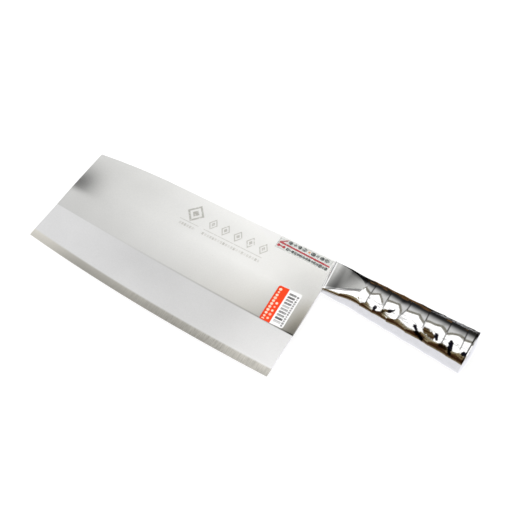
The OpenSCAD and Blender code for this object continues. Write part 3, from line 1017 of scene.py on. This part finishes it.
class CLEAVER_OT_studio(bpy.types.Operator):
    """Set the table, the lights and the camera"""

    bl_idname = "cleaver.studio"
    bl_label = "Studio"

    CAMERA_PLACE = (0.16365885, -0.22475694, 0.44114538)
    CAMERA_TURN = (34.75792, 0.32891934, 32.69620156)
    CAMERA_LENS = 50.625
    CAMERA_CLIP = 0.01
    TABLE_SIZE = 4
    TABLE_GLOW = 0.8
    LAMP_SIZE = 1.6
    LAMP_PLACE = (-0.2, -0.2, 1.5)
    LAMP_TURN = (-7, -7, 0)
    # The brown of the room behind the handle, which the steel mirrors.
    BROWN = (0.2, 0.1, 0.035)
    # The softbox's rear corner, as the x of its direction, and how fast its edges come forward from there, in
    # degrees over x.
    CORNER = -0.2
    CORNER_SLOPE = 110
    # The tent's colours by height, an angle from straight up in degrees: negative behind the handle, and
    # positive on the camera's side, where the belly of the handle mirrors them in bands.
    TENT = (
        (-180, (0.9, 0.9, 0.93)),
        (-97, (0.9, 0.9, 0.93)),
        (-93, (0.02, 0.02, 0.018)),
        *soft_edge(-72, -33, 0.03),
        (55, (1.0, 1.0, 1.0)),
        (56.5, (0.5, 0.45, 0.26)),
        (60, (0.22, 0.15, 0.065)),
        (65, (0.56, 0.49, 0.3)),
        (69, (0.24, 0.15, 0.055)),
        (73, (0.07, 0.028, 0.009)),
        (82, (0.06, 0.022, 0.007)),
        (85, (0.4, 0.33, 0.18)),
        (88, (0.14, 0.07, 0.02)),
        (91, (0.48, 0.4, 0.22)),
        (94, (0.1, 0.045, 0.014)),
        (97, (0.9, 0.9, 0.93)),
    )

    def execute(self, context):
        settings = context.scene.cleaver_studio
        self.table(settings)
        self.lamp(settings)
        self.camera(context)
        self.surroundings(context, settings)
        context.scene.view_settings.view_transform = "Standard"
        return {"FINISHED"}

    def table(self, settings):
        board = bmesh.new()
        bmesh.ops.create_grid(board, x_segments=1, y_segments=1, size=self.TABLE_SIZE)
        mesh = bpy.data.meshes.new("table")
        board.to_mesh(mesh)
        board.free()
        mesh.materials.append(self.table_white(settings))
        table = bpy.data.objects.new("table", mesh)
        bpy.context.scene.collection.objects.link(table)

    def table_white(self, settings):
        """A white table, which the steel mirrors pale in front of the handle and brown behind it."""
        handle = handle_of(bpy.context.scene)
        material, tree = new_material("white_table")
        along, behind, _ = tree.axes(tree.place(handle.to_table))
        reach = along + (behind - 100) * 0.13
        patches = tree.noise((along * 0.08).vector(), 1.0, 1.5)
        brown = reach.between(11, 50, 3) * patches.rise(0.38, 0.5)
        room = tree.mix(brown, (0.022, 0.019, 0.014), self.BROWN)
        loops = tree.noise((reach * 0.16).vector(behind * 0.05), 1.0, 1)
        loops = abs(loops - 0.5).rise(0.045, 0.02) * reach.between(66, 100, 4)
        room = tree.mix(loops, room, settings.mirrored[:])
        beside = behind.rise(4, 16) * along.rise(handle.handle_len, handle.handle_len - 5)
        beside = beside * (1 - along.rise(-2, -12) * behind.rise(80, 40))
        mirrored = tree.mix(beside, settings.mirrored[:], room)
        white = tree.node(
            "ShaderNodeBsdfPrincipled",
            None,
            {
                "Base Color": settings.table[:],
                "Roughness": 0.9,
                "Specular IOR Level": 0.0,
                "Emission Color": (1.0, 1.0, 1.0),
                "Emission Strength": self.TABLE_GLOW,
            },
        )
        glow = tree.node("ShaderNodeEmission", None, {"Color": mirrored, "Strength": 1.0})
        glossy = tree.node("ShaderNodeLightPath", output="Is Glossy Ray")
        both = tree.node("ShaderNodeMixShader", None, {0: glossy, 1: white, 2: glow})
        tree.node("ShaderNodeOutputMaterial", None, {"Surface": both})
        return material

    def lamp(self, settings):
        """A broad lamp that lights paper and table evenly and stays out of the steel's reflections."""
        data = bpy.data.lights.new("overhead_lamp", "AREA")
        data.shape = "SQUARE"
        data.size = self.LAMP_SIZE
        data.energy = settings.lamp
        lamp = bpy.data.objects.new("overhead_lamp", data)
        lamp.location = self.LAMP_PLACE
        lamp.rotation_euler = [math.radians(turn) for turn in self.LAMP_TURN]
        lamp.visible_glossy = False
        bpy.context.scene.collection.objects.link(lamp)

    def camera(self, context):
        data = bpy.data.cameras.new("camera")
        data.lens = self.CAMERA_LENS
        data.clip_start = self.CAMERA_CLIP
        camera = bpy.data.objects.new("camera", data)
        camera.location = self.CAMERA_PLACE
        camera.rotation_euler = [math.radians(turn) for turn in self.CAMERA_TURN]
        context.scene.collection.objects.link(camera)
        context.scene.camera = camera

    def surroundings(self, context, settings):
        """A white tent round the table, as the steel mirrors it; the camera sees plain white."""
        world = bpy.data.worlds.new("studio")
        context.scene.world = world
        tree = Tree(world)
        toward = tree.node("ShaderNodeTexCoord", output="Generated")
        side, y, z = tree.axes(toward)
        height = (-y).math("ARCTAN2", z) * (180 / math.pi)
        folds = tree.noise(tree.stretched(toward, (4, 16, 16)), 1.0, 2)
        waves = tree.noise(tree.stretched(toward, (14, 6, 6)), 1.0, 2)
        grain = tree.noise(tree.stretched(toward, (5, 34, 34)), 1.0, 1)

        # The bands on the camera's side are wavy, and come further up towards the butt.
        sway = side.rise(-0.37, -0.27) * 34 - 13 + (waves - 0.5) * 36 + (grain - 0.5) * 20
        bent = height + sway * height.rise(15, 42) * height.rise(88, 36)
        stops = [((place + 180) / 360, tone) for place, tone in self.TENT]
        walls = tree.node("ShaderNodeValToRGB", {"stops": stops}, {0: bent / 360 + 0.5})

        # The softbox with its folded cloth, the seam along its rear edges and the soft line at its corner.
        corner = abs(side - self.CORNER) * -self.CORNER_SLOPE + height
        box = corner.rise(-31, -27) * bent.rise(56, 53) * side.between(-0.72, 0.8, 0.03)
        box = box * (1 - folds.rise(0.54, 0.66) * 0.62)
        seam = corner.between(-43, -30, 2) * side.between(-0.53, 0.6, 0.04) * height.rise(44, 24)
        edge = side.bump(self.CORNER, 0.04) * corner.rise(-28, -36) * height.rise(-66, -48)
        # A white end behind the tip, and a brown strip low behind the neck.
        end = side.rise(-0.44, -0.52) * height.rise(-24, -34)
        behind = side.between(-0.24, -0.125, 0.015) * height.between(-93, -80, 3)
        room = tree.tint(walls, box * (settings.softbox - 1) + 1)
        room = tree.mix(end, room, (1.0, 1.0, 0.98))
        room = tree.mix(behind * folds.rise(0.4, 0.5), room, self.BROWN)
        room = tree.mix(side.rise(-0.74, -0.8), room, (1.5, 1.5, 1.5))
        room = tree.mix(seam, room, (0.3, 0.285, 0.23))
        room = tree.mix(edge * 0.55, room, (0.4, 0.4, 0.38))
        seen = tree.node("ShaderNodeLightPath", output="Is Camera Ray")
        shown = tree.mix(seen, room, (1.0, 1.0, 1.0))
        background = tree.node("ShaderNodeBackground", None, {"Color": shown, "Strength": 1.0})
        tree.node("ShaderNodeOutputWorld", None, {"Surface": background})


class CLEAVER_PT_panel(bpy.types.Panel):
    """Lists the steps that build the cleaver, and its sizes and colours"""

    bl_idname = "CLEAVER_PT_panel"
    bl_label = "Cleaver"
    bl_space_type = "VIEW_3D"
    bl_region_type = "UI"
    bl_category = "Cleaver"

    def draw(self, context):
        for operator in OPERATORS:
            self.layout.operator(operator.bl_idname)
        for name in SETTINGS:
            group = getattr(context.scene, name)
            box = self.layout.box()
            for key in type(group).__annotations__:
                box.prop(group, key)


SETTINGS = {
    "cleaver_blade": BladeSettings,
    "cleaver_handle": HandleSettings,
    "cleaver_stickers": StickerSettings,
    "cleaver_studio": StudioSettings,
}
OPERATORS = (
    CLEAVER_OT_studio,
    CLEAVER_OT_blade,
    CLEAVER_OT_handle,
    CLEAVER_OT_fittings,
    CLEAVER_OT_stickers,
)
CLASSES = (*SETTINGS.values(), *OPERATORS, CLEAVER_PT_panel)


def register():
    for cls in CLASSES:
        bpy.utils.register_class(cls)
    for name, cls in SETTINGS.items():
        setattr(bpy.types.Scene, name, PointerProperty(type=cls))


def unregister():
    for name in SETTINGS:
        delattr(bpy.types.Scene, name)
    for cls in reversed(CLASSES):
        bpy.utils.unregister_class(cls)


def main():
    register()
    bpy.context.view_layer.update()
    bpy.ops.cleaver.studio()
    bpy.ops.cleaver.blade()
    bpy.ops.cleaver.handle()
    bpy.ops.cleaver.fittings()
    bpy.ops.cleaver.stickers()


if __name__ == "__main__":
    main()
